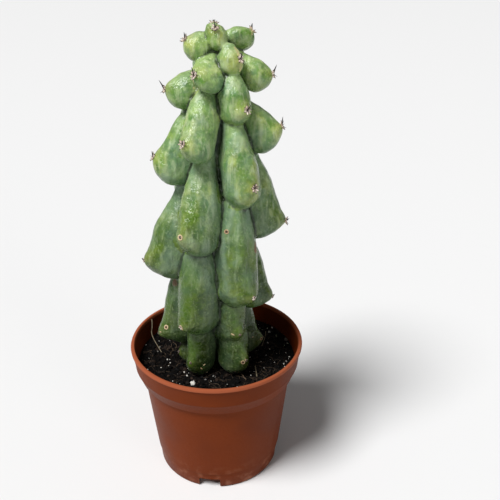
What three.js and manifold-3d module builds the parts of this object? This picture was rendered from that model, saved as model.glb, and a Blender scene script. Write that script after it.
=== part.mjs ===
// A potted boobie cactus: a breast-form cultivar of the blue myrtle cactus, Myrtillocactus geometrizans,
// in a round plastic nursery pot filled with potting mix. All sizes are millimetres, +Z is up, and the
// origin is the middle of the circle that the pot stands on. -Y is the side that faces the viewer.
//
// The cactus is one grown piece: a six-ribbed column whose ribs have swollen into pear-shaped lobes, each
// with a woolly areole and a few short spines on its outer tip. It stands in a plain hole in the soil.
import * as THREE from "three";
import { mergeVertices } from "three/addons/utils/BufferGeometryUtils.js";
import Module from "manifold-3d";

const wasm = await Module();
wasm.setup();

// The pot, a standard 12 cm nursery pot
const POT_HEIGHT = 97;
const RIM_RADIUS = 60;
const POT_SIDES = 48;
const FOOT_RADIUS = 42.8;
const FLOOR_HEIGHT = 9;
const FLOOR_THICKNESS = 1.2;
const NOTCH_WIDTH = 15;
const NOTCH_HEIGHT = 7.5;
const NOTCH_DEPTH = 12;
const NOTCH_AZIMUTH = -10;
const NOTCH_COUNT = 4;
const DRAIN_RADIUS = 4;
const DRAIN_SIDES = 16;
const DRAIN_LENGTH = 8;
const DRAIN_CIRCLE = 30;

// The potting mix
const SOIL_TOP = 84;
const SOIL_SIDES = 36;
const SOIL_RINGS = 7;
const CRUMB_COUNT = 36;
const CRUMB_SIZES = [1.1, 2.2];
const CRUMB_DISTANCES = [30, 51];
const CLEARANCE = 0.35;
const HOLLOW_CLEARANCE = 0.7;
const LOW_LOBE = 125;

// The cactus
const STEM_TOP = 300;
const STEM_FOOT = 48;
const LEAN_FOOT = -2;
const LEAN_TOP = 3.6;
const YOUNG_HEIGHT = 120;
const OLD_LOBE_DEPTH = 1.22;
const YOUNG_NOSE = 0.6;
const OLD_NOSE = 3.4;
const NOSE_SPREAD = 0.5;
const STEEPEST_FACING = 0.9;
const NECK_RING_POWER = 0.8;
const SMALL_LOBE = 19;
const SMALL_LOBE_SIDES = 10;
const LOBE_SIDES = 12;
const LOBE_RINGS = 8;
const CORE_SIDES = 12;
const AREOLE_RADIUS = 1.7;
const AREOLE_STAND = 0.8;
const AREOLE_DEPTH = 3.2;
const AREOLE_SIDES = 5;
const SPINE_RADIUS = 0.5;
const SPINE_ROOT = 1.5;
const RING_SPINES = 3;
const RING_LENGTH = 2.2;
const YOUNG_SPINE = 3;

const { degToRad: degrees, lerp, clamp, smoothstep } = THREE.MathUtils;

// Closed geometry as a solid, and back again
function merged(geometry) {
  const plain = geometry.clone();
  plain.deleteAttribute("normal");
  plain.deleteAttribute("uv");
  return mergeVertices(plain, 1e-4);
}

function solidOf(geometry) {
  const mesh = merged(geometry);
  return new wasm.Manifold(
    new wasm.Mesh({
      numProp: 3,
      vertProperties: new Float32Array(mesh.attributes.position.array),
      triVerts: new Uint32Array(mesh.index.array),
    }),
  );
}

function geometryOf(solid) {
  const mesh = solid.getMesh();
  const positions = new Float32Array(mesh.numVert * 3);
  for (let i = 0; i < mesh.numVert; i++) {
    const start = i * mesh.numProp;
    positions.set(mesh.vertProperties.subarray(start, start + 3), i * 3);
  }
  const geometry = new THREE.BufferGeometry();
  geometry.setAttribute("position", new THREE.BufferAttribute(positions, 3));
  geometry.setIndex(largestShell(Array.from(mesh.triVerts), mesh.numVert));
  return geometry;
}

// Small pockets that close up between fused pieces are surfaces of their own. Only the largest connected
// surface is kept, so the pockets are filled.
function largestShell(corners, vertexCount) {
  const parent = Array.from({ length: vertexCount }, (_, i) => i);
  const rootOf = (i) => {
    while (parent[i] !== i) i = parent[i] = parent[parent[i]];
    return i;
  };
  for (let i = 0; i < corners.length; i += 3) {
    parent[rootOf(corners[i])] = rootOf(corners[i + 1]);
    parent[rootOf(corners[i + 1])] = rootOf(corners[i + 2]);
  }
  const sizes = new Map();
  for (const corner of corners) sizes.set(rootOf(corner), (sizes.get(rootOf(corner)) ?? 0) + 1);
  const largest = [...sizes.keys()].reduce((best, root) => (sizes.get(root) > sizes.get(best) ? root : best));
  return corners.filter((corner) => rootOf(corner) === largest);
}

function joined(solids) {
  return solids.reduce((whole, piece) => whole.add(piece));
}

// LatheGeometry turns about Y, so its result is stood up to turn about Z
function turned(profile, sides) {
  const points = profile.map(([radius, height]) => new THREE.Vector2(radius, height));
  return new THREE.LatheGeometry(points, sides).rotateX(Math.PI / 2);
}

// Repeatable draws for the crumbs and the small turns of the spines
function drawer(seed) {
  let state = seed;
  return (low, high) => {
    state = (state * 1664525 + 1013904223) % 4294967296;
    return low + ((high - low) * state) / 4294967296;
  };
}

// A direction on the plan: azimuth 0 faces the viewer, and 90 points to +X
function outward(azimuth) {
  return new THREE.Vector3(Math.sin(degrees(azimuth)), -Math.cos(degrees(azimuth)), 0);
}

// The pot's inner wall from its raised floor to the lip, as radius and height
const INNER_WALL = [
  [42.6, FLOOR_HEIGHT],
  [44.4, 13.4],
  [50.8, 73.2],
  [52.9, 75.0],
  [55.6, 82.4],
  [57.1, 94.2],
  [57.4, 96.4],
];

function potInside(height) {
  const above = INNER_WALL.findIndex((corner) => corner[1] > height);
  const [low, lowHeight] = INNER_WALL[above - 1];
  const [high, highHeight] = INNER_WALL[above];
  return lerp(low, high, (height - lowHeight) / (highHeight - lowHeight));
}

// The pot's outer wall from the foot to the lip, then down its inner wall to the floor and the foot ring
function potProfile() {
  const outer = [
    [FOOT_RADIUS, 0],
    [43.6, 1.2],
    [44.5, 12.4],
    [45.4, 13.2],
    [52.0, 73.2],
    [54.5, 74.2],
    [57.2, 81.6],
    [57.5, 82.4],
    [59.0, 94.4],
    [59.8, 94.6],
    [RIM_RADIUS, 95.6],
    [59.5, POT_HEIGHT - 0.3],
    [58.6, POT_HEIGHT],
  ];
  const floorAndFoot = [
    [0, FLOOR_HEIGHT],
    [0, FLOOR_HEIGHT - FLOOR_THICKNESS],
    [41.6, FLOOR_HEIGHT - FLOOR_THICKNESS],
    [41.4, 0],
  ];
  return [...outer, ...INNER_WALL.toReversed(), ...floorAndFoot, outer[0]];
}

// The pot, its foot ring cut by drainage notches and its floor by round drain holes
function potSolid() {
  let pot = solidOf(turned(potProfile(), POT_SIDES));
  for (let i = 0; i < NOTCH_COUNT; i++) {
    const azimuth = NOTCH_AZIMUTH + (360 / NOTCH_COUNT) * i;
    const notch = new THREE.BoxGeometry(NOTCH_WIDTH, NOTCH_DEPTH, 2 * NOTCH_HEIGHT);
    const place = outward(azimuth).multiplyScalar(FOOT_RADIUS);
    notch.rotateZ(degrees(azimuth)).translate(place.x, place.y, 0);
    pot = pot.subtract(solidOf(notch));
    const drain = new THREE.CylinderGeometry(DRAIN_RADIUS, DRAIN_RADIUS, DRAIN_LENGTH, DRAIN_SIDES);
    const hole = outward(azimuth + 45).multiplyScalar(DRAIN_CIRCLE);
    drain.rotateX(Math.PI / 2).translate(hole.x, hole.y, FLOOR_HEIGHT);
    pot = pot.subtract(solidOf(drain));
  }
  return pot;
}

// The lobes of the cactus, in a list for each rib, from the crown down. A lobe is given by the azimuth,
// height and reach from the stem's axis of its areole, at its outer tip. turn is how far the lobe points
// aside from straight out, in degrees. width is its greatest width, hang is how far its round end hangs
// below the areole, rise is how far above the areole its neck starts, neck is the neck's width there and
// root the neck's distance from the axis towards the rib, less than 0 beyond the axis. spines is the
// length of its longest spine, 0 for bare scars.
const LOBE_COLUMNS = [
  "azimuth", "height", "reach", "turn", "width", "hang", "rise", "neck", "root", "spines",
];
const RIBS = [
  {
    azimuth: -84,
    lobes: [
      [-72, 298, 18.2, 0, 15.5, 12.8, 0, 9, 3, 4],
      [-78, 270.8, 30.4, 0, 18.4, 12, 9, 9, 4, 6],
      [-76, 231.5, 38.5, 0, 21.6, 17.5, 36, 12, 3, 4],
      [-74, 165, 47, 0, 27, 14.5, 52, 13, 15, 2.5],
      [-74, 109, 39.6, 0, 22, 8.5, 50, 14, 15, 0],
      [-64, 94, 27, 0, 14, 11.5, 20, 10, 12, 0],
    ],
  },
  {
    azimuth: -27,
    lobes: [
      [-4, 302.8, 9.2, -10, 11.4, 11.8, 3, 8, 3, 4],
      [-28, 281, 26.4, -20, 16, 10.8, 20, 5, -12, 5],
      [-30.5, 245.2, 37, -10, 18.8, 13.5, 34, 10, 3, 3],
      [-30, 191, 42, -10, 24, 17, 52, 11.5, 9, 0],
      [-31, 129, 42.5, -8, 25.4, 12.5, 62, 13, 19, 1.5],
      [-28, 97, 33.5, 0, 18.5, 15, 40, 14.5, 16, 0],
    ],
  },
  {
    azimuth: 33,
    lobes: [
      [37.5, 288.6, 21.4, 7, 14.2, 10.2, 8, 7, 11.5, 4],
      [34.5, 262.2, 30, 1, 17.6, 10.5, 18.5, 9.5, 14, 4],
      [34, 218.8, 39.4, -6, 22.2, 16, 44, 10.5, 15, 4],
      [33, 148.7, 43.6, 2, 26.4, 12.5, 64, 14, 20, 2],
      [28, 118, 34.4, 0, 21, 11.5, 36, 16, 17, 0],
      [34, 98, 36.5, 4, 18.5, 14.5, 22, 16, 20, 0],
    ],
  },
  {
    azimuth: 90,
    lobes: [
      [98, 302.2, 21, 0, 15.5, 12.6, -4, 8, 3, 4],
      [82, 278.4, 32.8, 0, 16.4, 10.2, 16, 6.5, 6, 6],
      [80, 248.8, 39.8, 0, 20.6, 16, 27, 6.5, 4, 6],
      [78, 189, 45.3, 0, 25, 12.5, 52, 13, 13, 3],
      [74, 135.2, 40.4, 0, 20, 9, 48, 11, 14, 2.5],
      [88, 97, 34, 0, 15, 11, 30, 13, 16, 0],
    ],
  },
  {
    azimuth: 150,
    lobes: [
      [144, 294, 22, 0, 14.6, 12, 4, 8, 4, 4],
      [152, 266, 32, 4, 18.4, 13, 20, 8, 5, 6],
      [148, 226, 40.5, -4, 22, 16, 38, 10, 9, 4],
      [150, 168, 45, 6, 25.2, 14.5, 56, 13, 14, 2.5],
      [146, 116, 41, 0, 23, 13, 50, 14, 16, 0],
      [156, 95, 30, 0, 16, 13, 24, 12, 15, 0],
    ],
  },
  {
    azimuth: -147,
    lobes: [
      [-170, 305, 7.5, 0, 8.5, 9, -2, 6, 1, 3],
      [-158, 284, 26, 6, 16.6, 12, 14, 8, 4, 6],
      [-148, 252, 36.5, 8, 20.2, 15, 30, 8, 7, 4],
      [-146, 203, 43.5, 6, 24, 17, 50, 10, 12, 3],
      [-145, 143, 43.5, -4, 25, 13, 60, 14, 15, 2],
      [-150, 102, 37, 0, 20, 14, 40, 14, 16, 0],
    ],
  },
];
const LOBES = RIBS.flatMap((rib) =>
  rib.lobes.map((row) => ({
    ribAzimuth: rib.azimuth,
    ...Object.fromEntries(LOBE_COLUMNS.map((name, i) => [name, row[i]])),
  })),
);

// The stem's axis leans a little, so it is a point for each height
function axisAt(height) {
  const share = (height - SOIL_TOP) / (STEM_TOP - SOIL_TOP);
  return new THREE.Vector3(lerp(LEAN_FOOT, LEAN_TOP, clamp(share, 0, 1.1)), 0, height);
}

// Where a lobe's areole sits and faces, and where its belly's centre and its neck's top are. Old lobes
// are deeper than wide, like ribs, and their areoles stand out on a longer nose. The belly hangs behind
// the areole by the belly's own radius that way, which depends on how the lobe lies.
function lobePlan(lobe) {
  const age = clamp((STEM_TOP - lobe.height) / YOUNG_HEIGHT, 0, 1);
  const radius = lobe.width / 2;
  const stretch = lerp(1, OLD_LOBE_DEPTH, age);
  const nose = lerp(YOUNG_NOSE, OLD_NOSE, age);
  const side = outward(lobe.azimuth + lobe.turn);
  const across = new THREE.Vector3(-side.y, side.x, 0);
  const lift = clamp((lobe.hang - radius) / (radius + nose), -STEEPEST_FACING, STEEPEST_FACING);
  const facing = side.clone().multiplyScalar(Math.sqrt(1 - lift * lift)).setZ(lift);
  const areole = axisAt(lobe.height).addScaledVector(outward(lobe.azimuth), lobe.reach);
  const top = axisAt(lobe.height + lobe.rise).addScaledVector(outward(lobe.ribAzimuth), lobe.root);
  const belly = areole.clone().addScaledVector(facing, -radius);
  const direction = new THREE.Vector3();
  const deep = new THREE.Vector3();
  for (let pass = 0; pass < 4; pass++) {
    direction.copy(belly).sub(top).normalize();
    deep.copy(side).addScaledVector(direction, -side.dot(direction)).normalize();
    const behind = radius / Math.hypot(facing.dot(deep) / stretch, facing.dot(direction));
    belly.copy(areole).addScaledVector(facing, -(behind + nose));
  }
  return { radius, stretch, nose, across, deep, direction, facing, areole, belly, top };
}

// A pear that hangs from its neck: rings widen along the neck to the belly, half a ball closes the end,
// and the skin near the areole is drawn out into a nose. grow swells it, for its hollow in the soil.
function lobeGeometry(lobe, grow = 0) {
  const { radius, stretch, nose, across, deep, direction, facing, belly, top } = lobePlan(lobe);
  const sides = lobe.width < SMALL_LOBE ? SMALL_LOBE_SIDES : LOBE_SIDES;
  const shape = merged(new THREE.SphereGeometry(1, sides, LOBE_RINGS));
  const position = shape.attributes.position;
  const neckLength = belly.distanceTo(top);
  const stout = clamp((lobe.neck / lobe.width - 0.4) / 0.2, 0, 1);
  const swellFrom = lerp(0.25, -0.15, stout);
  const swellTo = lerp(0.9, 0.55, stout);
  const point = new THREE.Vector3();
  for (let i = 0; i < position.count; i++) {
    const share = Math.acos(clamp(position.getY(i), -1, 1)) / Math.PI;
    const around = Math.atan2(position.getZ(i), position.getX(i));
    let ring;
    if (share < 0.5) {
      const t = (2 * share) ** NECK_RING_POWER;
      const swell = smoothstep(t, swellFrom, swellTo);
      ring = t > 0 ? lerp(lobe.neck / 2, radius, swell) + grow : 0;
      point.copy(top).addScaledVector(direction, neckLength * t - (t > 0 ? 0 : grow));
    } else {
      const turn = Math.PI * (share - 0.5);
      ring = (radius + grow) * Math.cos(turn);
      point.copy(belly).addScaledVector(direction, (radius + grow) * Math.sin(turn));
    }
    point.addScaledVector(across, ring * Math.cos(around));
    point.addScaledVector(deep, ring * stretch * Math.sin(around));
    const angle = point.clone().sub(belly).angleTo(facing);
    point.addScaledVector(facing, nose * Math.exp(-((angle / NOSE_SPREAD) ** 2)));
    position.setXYZ(i, point.x, point.y, point.z);
  }
  return shape;
}

// The column inside the ribs, from its blunt foot in the soil to the growing point. grow swells it, for
// its hole in the soil.
function coreGeometry(grow = 0) {
  const profile = [
    [0, STEM_FOOT],
    [9, STEM_FOOT + 1],
    [14, STEM_FOOT + 7],
    [17, SOIL_TOP - 6],
    [18.5, 110],
    [18, 155],
    [17, 195],
    [14.5, 235],
    [10.5, 262],
    [6.5, 284],
    [4, 292],
    [0, 295],
  ];
  const swollen = profile.map(([radius, height]) => [
    radius > 0 ? radius + grow : 0,
    height < STEM_FOOT + 10 ? height - grow : height,
  ]);
  const core = merged(turned(swollen, CORE_SIDES));
  const position = core.attributes.position;
  for (let i = 0; i < position.count; i++) {
    position.setX(i, position.getX(i) + axisAt(position.getZ(i)).x);
  }
  return core;
}

// A spine is a slim three-sided cone whose root is sunk into the areole
function spineGeometry(from, direction, length) {
  const cone = new THREE.ConeGeometry(SPINE_RADIUS, length + SPINE_ROOT, 3, 1);
  cone.translate(0, (length - SPINE_ROOT) / 2, 0);
  const turn = new THREE.Quaternion().setFromUnitVectors(new THREE.Vector3(0, 1, 0), direction);
  return cone.applyQuaternion(turn).translate(from.x, from.y, from.z);
}

// An areole is a low woolly pad, with one long spine that points up and a ring of short ones
function areoleSolids(lobe, draw) {
  const { across, facing, areole } = lobePlan(lobe);
  const toFacing = new THREE.Quaternion().setFromUnitVectors(new THREE.Vector3(0, 1, 0), facing);
  const pad = new THREE.CylinderGeometry(AREOLE_RADIUS * 0.7, AREOLE_RADIUS, AREOLE_DEPTH, AREOLE_SIDES);
  pad.translate(0, AREOLE_STAND - AREOLE_DEPTH / 2, 0);
  pad.applyQuaternion(toFacing).translate(areole.x, areole.y, areole.z);
  const solids = [solidOf(pad)];
  if (lobe.spines === 0) return solids;
  const up = new THREE.Vector3().crossVectors(across, facing);
  if (up.z < 0) up.negate();
  const central = facing.clone().addScaledVector(up, draw(0.6, 1.6));
  central.addScaledVector(across, draw(-0.4, 0.4)).normalize();
  solids.push(solidOf(spineGeometry(areole, central, lobe.spines)));
  const first = draw(0, 90);
  const ringCount = lobe.spines < YOUNG_SPINE ? 0 : RING_SPINES;
  for (let i = 0; i < ringCount; i++) {
    const turn = degrees(first + (360 / ringCount) * i);
    const direction = facing.clone().multiplyScalar(0.55);
    direction.addScaledVector(across, Math.cos(turn)).addScaledVector(up, Math.sin(turn));
    const length = RING_LENGTH * draw(0.8, 1.2);
    solids.push(solidOf(spineGeometry(areole, direction.normalize(), length)));
  }
  return solids;
}

function stemSolid() {
  const draw = drawer(7);
  const lobes = LOBES.map((lobe) => solidOf(lobeGeometry(lobe)));
  const areoles = LOBES.flatMap((lobe) => areoleSolids(lobe, draw));
  return joined([solidOf(coreGeometry()), ...lobes, ...areoles]);
}

// The soil's top is uneven: low heaps by a formula, higher towards the wall on one side
function soilTopAt(x, y) {
  const heap = 0.9 * Math.sin(x * 0.11 + 1.3) * Math.cos(y * 0.13);
  const lumps = 0.7 * Math.sin(x * 0.41 + y * 0.23) * Math.sin(y * 0.37 - x * 0.19);
  const slope = 1.5 * (x / RIM_RADIUS);
  return SOIL_TOP + heap + lumps + slope;
}

// The soil as a turned solid that fills the pot's inside, its top moved up and down to the heaps
function soilGeometry() {
  const bottom = FLOOR_HEIGHT + CLEARANCE;
  const profile = [[0, bottom]];
  profile.push([potInside(bottom) - CLEARANCE, bottom]);
  for (const [radius, height] of INNER_WALL) {
    if (height > bottom && height < SOIL_TOP - 3) profile.push([radius - CLEARANCE, height]);
  }
  for (let i = SOIL_RINGS; i >= 0; i--) {
    profile.push([((potInside(SOIL_TOP) - 1.2) * i) / SOIL_RINGS, SOIL_TOP]);
  }
  const soil = merged(turned(profile, SOIL_SIDES));
  const position = soil.attributes.position;
  for (let i = 0; i < position.count; i++) {
    if (position.getZ(i) < SOIL_TOP - 0.1) continue;
    position.setZ(i, soilTopAt(position.getX(i), position.getY(i)));
  }
  return soil;
}

// Crumbs of the mix, half sunk in its top
function crumbSolids(draw) {
  const crumbs = [];
  for (let i = 0; i < CRUMB_COUNT; i++) {
    const place = outward(draw(0, 360)).multiplyScalar(draw(...CRUMB_DISTANCES));
    const crumb = new THREE.OctahedronGeometry(draw(...CRUMB_SIZES), 0);
    crumb.rotateX(draw(0, 3)).rotateZ(draw(0, 3));
    crumb.translate(place.x, place.y, soilTopAt(place.x, place.y) + 0.2);
    crumbs.push(solidOf(crumb));
  }
  return crumbs;
}

// The soil with a plain hole for the stem and a hollow where each low lobe presses into it
function soilSolid() {
  const soil = joined([solidOf(soilGeometry()), ...crumbSolids(drawer(11))]);
  const low = LOBES.filter((lobe) => lobe.height < LOW_LOBE);
  const hollows = low.map((lobe) => solidOf(lobeGeometry(lobe, HOLLOW_CLEARANCE)));
  const hole = solidOf(coreGeometry(HOLLOW_CLEARANCE));
  return [hole, ...hollows].reduce((rest, hollow) => rest.subtract(hollow), soil);
}

const materials = {
  pot: new THREE.MeshStandardMaterial({ color: 0x9c4f2c, roughness: 0.5, metalness: 0 }),
  soil: new THREE.MeshStandardMaterial({ color: 0x1c1714, roughness: 0.95, metalness: 0 }),
  stem: new THREE.MeshStandardMaterial({ color: 0x6f8f4c, roughness: 0.5, metalness: 0 }),
};

function named(name, solid) {
  const mesh = new THREE.Mesh(geometryOf(solid), materials[name]);
  mesh.name = name;
  return mesh;
}

const plant = new THREE.Group();
plant.add(named("pot", potSolid()));
plant.add(named("soil", soilSolid()));
plant.add(named("stem", stemSolid()));

export default plant;
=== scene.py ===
# A potted boobie cactus: a breast-form cultivar of the blue myrtle cactus in a 12 cm plastic nursery pot,
# filled with dark peat mix. Lengths are metres, +Z is up, and -Y is the side that faces the viewer. The
# origin is the middle of the circle that the pot stands on.
import math
import random
from types import SimpleNamespace

import bpy
import numpy as np
from mathutils import Euler, Matrix, Vector
from mathutils.bvhtree import BVHTree


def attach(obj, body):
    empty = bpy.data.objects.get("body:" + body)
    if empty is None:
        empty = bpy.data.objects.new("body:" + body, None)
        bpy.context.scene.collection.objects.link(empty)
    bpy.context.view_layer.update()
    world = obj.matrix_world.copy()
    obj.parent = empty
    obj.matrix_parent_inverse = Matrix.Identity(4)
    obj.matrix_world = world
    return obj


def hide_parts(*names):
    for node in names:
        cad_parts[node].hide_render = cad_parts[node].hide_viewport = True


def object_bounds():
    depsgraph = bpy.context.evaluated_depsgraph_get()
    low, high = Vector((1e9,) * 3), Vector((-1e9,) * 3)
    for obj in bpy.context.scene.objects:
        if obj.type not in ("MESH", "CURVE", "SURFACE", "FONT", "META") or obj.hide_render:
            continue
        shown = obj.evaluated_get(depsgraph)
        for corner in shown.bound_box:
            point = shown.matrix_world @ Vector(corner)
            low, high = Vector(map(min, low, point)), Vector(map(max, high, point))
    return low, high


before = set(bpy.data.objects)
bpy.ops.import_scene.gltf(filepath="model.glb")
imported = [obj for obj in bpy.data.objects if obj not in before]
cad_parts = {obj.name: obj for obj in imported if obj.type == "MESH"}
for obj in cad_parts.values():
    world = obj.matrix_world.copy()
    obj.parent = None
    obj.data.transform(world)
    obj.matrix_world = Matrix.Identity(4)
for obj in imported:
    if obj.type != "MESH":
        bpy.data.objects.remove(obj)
cad_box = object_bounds()
MM = 0.001


# The viewpoint
# The camera stands where the photo was taken from. A mark that the photo shows at some pixel is put on the
# skin or the soil where the line from the camera through that pixel meets it.
CAMERA_PLACE = Vector((0, -0.3702, 0.3389))
CAMERA_PITCH = -25.193
CAMERA_YAW = -3.574
CAMERA_ROLL = 0.212
CAMERA_LENS = 44.64
SENSOR_WIDTH = 36
PHOTO_WIDTH = 500

bpy.ops.object.camera_add(location=CAMERA_PLACE)
camera = bpy.context.active_object
look = Euler((math.radians(90 + CAMERA_PITCH), 0, math.radians(CAMERA_YAW)))
look.rotate_axis("Z", math.radians(CAMERA_ROLL))
camera.rotation_euler = look
camera.data.lens = CAMERA_LENS
camera.data.sensor_width = SENSOR_WIDTH
bpy.context.scene.camera = camera


def surface_of(piece):
    return BVHTree.FromObject(piece, bpy.context.evaluated_depsgraph_get())


def seen_on(surface, pixel):
    """The point of a surface that the photo shows at a pixel, and the way that the surface faces there."""
    right, down = (value - PHOTO_WIDTH / 2 for value in pixel)
    ray = Vector((right, -down, -CAMERA_LENS * PHOTO_WIDTH / SENSOR_WIDTH))
    ray.rotate(look)
    point, normal, _, _ = surface.ray_cast(CAMERA_PLACE, ray.normalized())
    return point, normal


# The pot
# A 12 cm round nursery pot, injection moulded in thin terracotta-coloured polypropylene. It tapers below a
# stacking collar with a rolled lip, and stands on a foot ring with four drainage notches in it.
POT_SIDES = 144
FLOOR_HEIGHT = 0.009
NOTCH_SIZE = (0.015, 0.012, 0.015)
NOTCH_AZIMUTHS = (-10, 80, 170, 260)
NOTCH_RADIUS = 0.0428
NOTCH_ROUNDING = 0.0012
DRAIN_RADIUS = 0.004
DRAIN_DEPTH = 0.008
DRAIN_CIRCLE = 0.030
LIP_HIGHLIGHT_HEIGHTS = (0.0943, 0.0952)
DUST_HEIGHT = 0.022
SMOOTH_ANGLE = 40

# From the underside of the floor down to the foot ring, up the outside, over the lip and down the inside
POT_PROFILE = (
    (41.6, 7.8), (41.4, 0.0), (42.8, 0.0), (43.6, 1.2), (44.5, 12.4), (45.3, 13.0), (52.0, 73.2),
    (54.5, 74.2), (57.2, 81.6), (57.6, 82.2), (57.6, 82.7), (59.0, 94.3), (59.2, 94.4), (59.9, 94.8),
    (60.0, 95.6), (59.5, 96.7), (58.6, 97.0), (57.7, 96.8), (57.3, 96.2), (57.1, 94.2), (55.6, 82.4),
    (52.9, 75.0), (50.8, 73.2), (44.4, 13.4), (42.6, 9.0),
)


def outward(azimuth):
    """A direction on the plan: azimuth 0 faces the viewer, and 90 points to +X."""
    return Vector((math.sin(math.radians(azimuth)), -math.cos(math.radians(azimuth)), 0))


def picked(pieces):
    """Selects only these pieces, and makes the first one active."""
    bpy.ops.object.select_all(action="DESELECT")
    for piece in pieces:
        piece.select_set(True)
    bpy.context.view_layer.objects.active = pieces[0]


def finished(piece, material):
    """Settles a piece: its place goes into its mesh, its skin is smooth, and it rides with the pot."""
    picked([piece])
    bpy.ops.object.transform_apply(location=True, rotation=True, scale=True)
    bpy.ops.object.shade_smooth_by_angle(angle=math.radians(SMOOTH_ANGLE))
    piece.data.materials.clear()
    piece.data.materials.append(material)
    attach(piece, "root")


def modified(piece, kind, **settings):
    """Puts a modifier on the piece and applies it."""
    picked([piece])
    bpy.ops.object.modifier_add(type=kind)
    modifier = piece.modifiers[-1]
    for name, value in settings.items():
        setattr(modifier, name, value)
    bpy.ops.object.modifier_apply(modifier=modifier.name)


def joined(name, pieces):
    """Joins pieces into one, whose points are then measured from the scene's origin."""
    picked(pieces)
    bpy.ops.object.join()
    bpy.ops.object.transform_apply(location=True, rotation=True, scale=True)
    pieces[0].name = name
    return pieces[0]


def stacked(place, radius, steps, sides):
    """A round piece that grows from a flat circle, in steps of a move and a change of width."""
    bpy.ops.mesh.primitive_circle_add(vertices=sides, radius=radius, fill_type="NGON", location=place)
    bpy.ops.object.mode_set(mode="EDIT")
    bpy.ops.mesh.select_all(action="SELECT")
    for move, wider in steps:
        bpy.ops.mesh.extrude_region_move(TRANSFORM_OT_translate={"value": move})
        bpy.ops.transform.resize(value=(wider, wider, 1))
    bpy.ops.mesh.select_all(action="SELECT")
    bpy.ops.mesh.normals_make_consistent(inside=False)
    bpy.ops.object.mode_set(mode="OBJECT")
    return bpy.context.active_object


def turned(profile, sides, rings=1):
    """A round piece from its outline, radii and heights in millimetres. Its last end is cut into rings."""
    radius, height = profile[0]
    steps = [
        ((0, 0, (high - low) * MM), new / old) for (old, low), (new, high) in zip(profile, profile[1:])
    ]
    steps += [((0, 0, 0), (ring - 1) / ring) for ring in range(rings, 1, -1)]
    return stacked((0, 0, height * MM), radius * MM, steps, sides)


def drainage_cutter():
    """The notches of the foot ring and the drain holes between them."""
    cutters = []
    for azimuth in NOTCH_AZIMUTHS:
        place = outward(azimuth) * NOTCH_RADIUS
        bpy.ops.mesh.primitive_cube_add(size=1, location=place, rotation=(0, 0, math.radians(azimuth)))
        notch = bpy.context.active_object
        notch.scale = NOTCH_SIZE
        bpy.ops.object.transform_apply(location=False, rotation=False, scale=True)
        modified(notch, "BEVEL", width=NOTCH_ROUNDING, segments=4)
        cutters.append(notch)
        place = outward(azimuth + 45) * DRAIN_CIRCLE
        place.z = FLOOR_HEIGHT
        bpy.ops.mesh.primitive_cylinder_add(radius=DRAIN_RADIUS, depth=DRAIN_DEPTH, location=place)
        cutters.append(bpy.context.active_object)
    return joined("drainage", cutters)


def sRGB(red, green, blue):
    """A colour as 0 to 255 on the screen, as the shader's linear light."""
    shares = [value / 255 for value in (red, green, blue)]
    return tuple(s / 12.92 if s < 0.04045 else ((s + 0.055) / 1.055) ** 2.4 for s in shares) + (1.0,)


def fed(node, inputs):
    """Gives inputs of a shader node their values, or the sockets that feed them."""
    for name, value in inputs.items():
        if isinstance(value, bpy.types.NodeSocket):
            node.id_data.links.new(value, node.inputs[name])
        else:
            node.inputs[name].default_value = value


def placed(beside, kind, inputs, **settings):
    """Adds a shader node with its settings and inputs to the tree of another node or socket."""
    node = beside.id_data.nodes.new(kind)
    for name, value in settings.items():
        setattr(node, name, value)
    fed(node, inputs)
    return node


def ramp(value, low, high, bottom=0.0, top=1.0, kind="SMOOTHSTEP"):
    """Turns a value between low and high into one between bottom and top."""
    inputs = {"Value": value, "From Min": low, "From Max": high, "To Min": bottom, "To Max": top}
    return placed(value, "ShaderNodeMapRange", inputs, interpolation_type=kind).outputs["Result"]


def mottle_group():
    """A random mask: noise of one scale, with its values between Low and High spread over 0 to 1."""
    tree = bpy.data.node_groups.new("mottle", "ShaderNodeTree")
    tree.interface.new_socket("Vector", in_out="INPUT", socket_type="NodeSocketVector")
    for name in ("Scale", "Detail", "Low", "High"):
        tree.interface.new_socket(name, in_out="INPUT", socket_type="NodeSocketFloat")
    tree.interface.new_socket("Mask", in_out="OUTPUT", socket_type="NodeSocketFloat")
    given = tree.nodes.new("NodeGroupInput").outputs
    inputs = {name: given[name] for name in ("Vector", "Scale", "Detail")}
    grain = placed(inputs["Vector"], "ShaderNodeTexNoise", inputs).outputs["Fac"]
    mask = ramp(grain, given["Low"], given["High"])
    tree.links.new(mask, tree.nodes.new("NodeGroupOutput").inputs["Mask"])
    return tree


MOTTLE = mottle_group()


def mottle(vector, scale, low=0.4, high=0.6, detail=2.0):
    """Patches whose size is about a metre over the scale."""
    inputs = {"Vector": vector, "Scale": scale, "Detail": detail, "Low": low, "High": high}
    return placed(vector, "ShaderNodeGroup", inputs, node_tree=MOTTLE).outputs["Mask"]


def blended(share, first, second):
    """Mixes two colours by a share from 0 to 1. They are inputs 6 and 7 of a Mix node."""
    inputs = {0: share, 6: first, 7: second}
    return placed(share, "ShaderNodeMix", inputs, data_type="RGBA").outputs[2]


def worked(operation, first, second=0.0, third=0.0):
    """A sum, product or the like of values."""
    inputs = {0: first, 1: second, 2: third}
    return placed(first, "ShaderNodeMath", inputs, operation=operation).outputs[0]


def times(first, second):
    return worked("MULTIPLY", first, second)


def scaled(value, factor, added):
    """A value times a factor, with something added."""
    return worked("MULTIPLY_ADD", value, factor, added)


def layered(under, mask, share, colour):
    """Lays a colour over another, as thickly as a share of the mask says."""
    return blended(times(mask, share), under, sRGB(*colour))


def new_material(name):
    """A material with one Principled shader, and the Object coordinates that its patterns read."""
    material = bpy.data.materials.new(name)
    material.use_nodes = True
    shader = material.node_tree.nodes["Principled BSDF"]
    place = placed(shader, "ShaderNodeTexCoord", {}).outputs["Object"]
    return material, shader, place


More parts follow.
